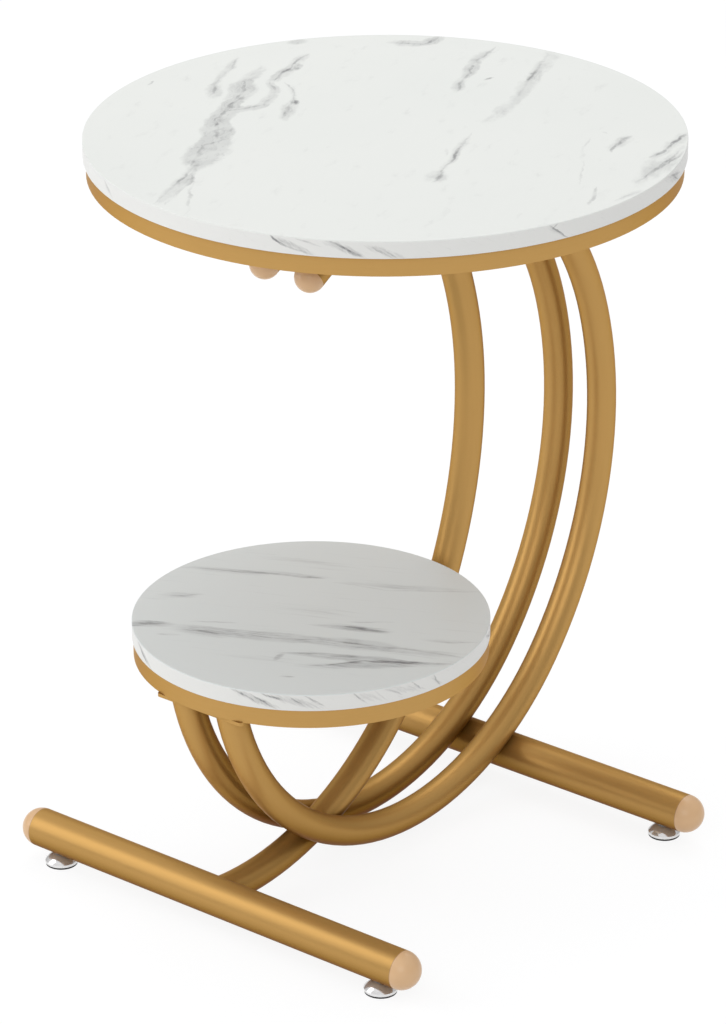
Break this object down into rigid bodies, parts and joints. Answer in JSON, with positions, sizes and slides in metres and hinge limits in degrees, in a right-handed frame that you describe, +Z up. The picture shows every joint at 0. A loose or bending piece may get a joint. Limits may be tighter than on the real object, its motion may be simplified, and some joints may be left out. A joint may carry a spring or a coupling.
{
  "type": "tiered side table",
  "caption": "Side table with a round top and a smaller, lower round shelf on a frame of rolled oval tubes and two floor bars with screw levellers.",
  "frame": {"origin": "on the floor, in the middle of the table's outline seen from above", "axes": "+X from the front floor bar to the rear floor bar, +Y along the floor bars, +Z up"},
  "size_m": [0.5406, 0.5, 0.647],
  "materials": {
    "marble_laminate": "printed white marble laminate, satin",
    "marble_edge_band": "printed white marble edge band, satin",
    "fibreboard": "raw fibreboard",
    "gold_metal": "satin gold coat on steel",
    "zinc_screw": "zinc plated",
    "peach_plastic": "moulded, satin",
    "chrome": "polished chrome plate",
    "dark_pad": "moulded, matte"
  },
  "bodies": {
    "table": {"top_laminate": "marble_laminate", "top_edge_band": "marble_edge_band", "top_core": "fibreboard", "top_hoop": "gold_metal", "top_cross_bar_near": "gold_metal", "top_cross_bar_far": "gold_metal", "top_mounting_plate": "gold_metal", "top_plate_screws": "zinc_screw", "top_board_screws": "zinc_screw", "shelf_laminate": "marble_laminate", "shelf_edge_band": "marble_edge_band", "shelf_core": "fibreboard", "shelf_hoop": "gold_metal", "shelf_cross_bar_near": "gold_metal", "shelf_cross_bar_far": "gold_metal", "shelf_mounting_plate": "gold_metal", "shelf_plate_screws": "zinc_screw", "shelf_board_screws": "zinc_screw", "arc_tube_near": "gold_metal", "arc_tube_far": "gold_metal", "spine_tube": "gold_metal", "front_floor_bar": "gold_metal", "rear_floor_bar": "gold_metal", "arc_end_cap_near": "peach_plastic", "arc_end_cap_far": "peach_plastic", "front_bar_cap_near": "peach_plastic", "front_bar_cap_far": "peach_plastic", "rear_bar_cap_near": "peach_plastic", "rear_bar_cap_far": "peach_plastic", "leveller_insert_front_near": "zinc_screw", "leveller_insert_front_far": "zinc_screw", "leveller_insert_rear_near": "zinc_screw", "leveller_insert_rear_far": "zinc_screw"},
    "pad_front_near": {"leveller_pad_front_near": "dark_pad"},
    "screw_front_near": {"leveller_stem_front_near": "zinc_screw", "leveller_dome_front_near": "chrome"},
    "pad_front_far": {"leveller_pad_front_far": "dark_pad"},
    "screw_front_far": {"leveller_stem_front_far": "zinc_screw", "leveller_dome_front_far": "chrome"},
    "pad_rear_near": {"leveller_pad_rear_near": "dark_pad"},
    "screw_rear_near": {"leveller_stem_rear_near": "zinc_screw", "leveller_dome_rear_near": "chrome"},
    "pad_rear_far": {"leveller_pad_rear_far": "dark_pad"},
    "screw_rear_far": {"leveller_stem_rear_far": "zinc_screw", "leveller_dome_rear_far": "chrome"}
  },
  "joints": [
    {"name": "front_near_height", "type": "slide", "parent": "table", "child": "pad_front_near", "axis": [0, 0, -1], "range_m": [0, 0.008]},
    {"name": "front_near_turn", "type": "hinge", "parent": "pad_front_near", "child": "screw_front_near", "pos_m": [-0.246, -0.178, 0], "axis": [0, 0, -1], "range_deg": [0, 2304]},
    {"name": "front_far_height", "type": "slide", "parent": "table", "child": "pad_front_far", "axis": [0, 0, -1], "range_m": [0, 0.008]},
    {"name": "front_far_turn", "type": "hinge", "parent": "pad_front_far", "child": "screw_front_far", "pos_m": [-0.246, 0.178, 0], "axis": [0, 0, -1], "range_deg": [0, 2304]},
    {"name": "rear_near_height", "type": "slide", "parent": "table", "child": "pad_rear_near", "axis": [0, 0, -1], "range_m": [0, 0.008]},
    {"name": "rear_near_turn", "type": "hinge", "parent": "pad_rear_near", "child": "screw_rear_near", "pos_m": [0.12377, -0.198, 0], "axis": [0, 0, -1], "range_deg": [0, 2304]},
    {"name": "rear_far_height", "type": "slide", "parent": "table", "child": "pad_rear_far", "axis": [0, 0, -1], "range_m": [0, 0.008]},
    {"name": "rear_far_turn", "type": "hinge", "parent": "pad_rear_far", "child": "screw_rear_far", "pos_m": [0.12377, 0.198, 0], "axis": [0, 0, -1], "range_deg": [0, 2304]}
  ],
  "couplings": [
    {"joint": "front_near_turn", "follows": "front_near_height", "rad_per_m": 5026.5},
    {"joint": "front_far_turn", "follows": "front_far_height", "rad_per_m": 5026.5},
    {"joint": "rear_near_turn", "follows": "rear_near_height", "rad_per_m": 5026.5},
    {"joint": "rear_far_turn", "follows": "rear_far_height", "rad_per_m": 5026.5}
  ]
}
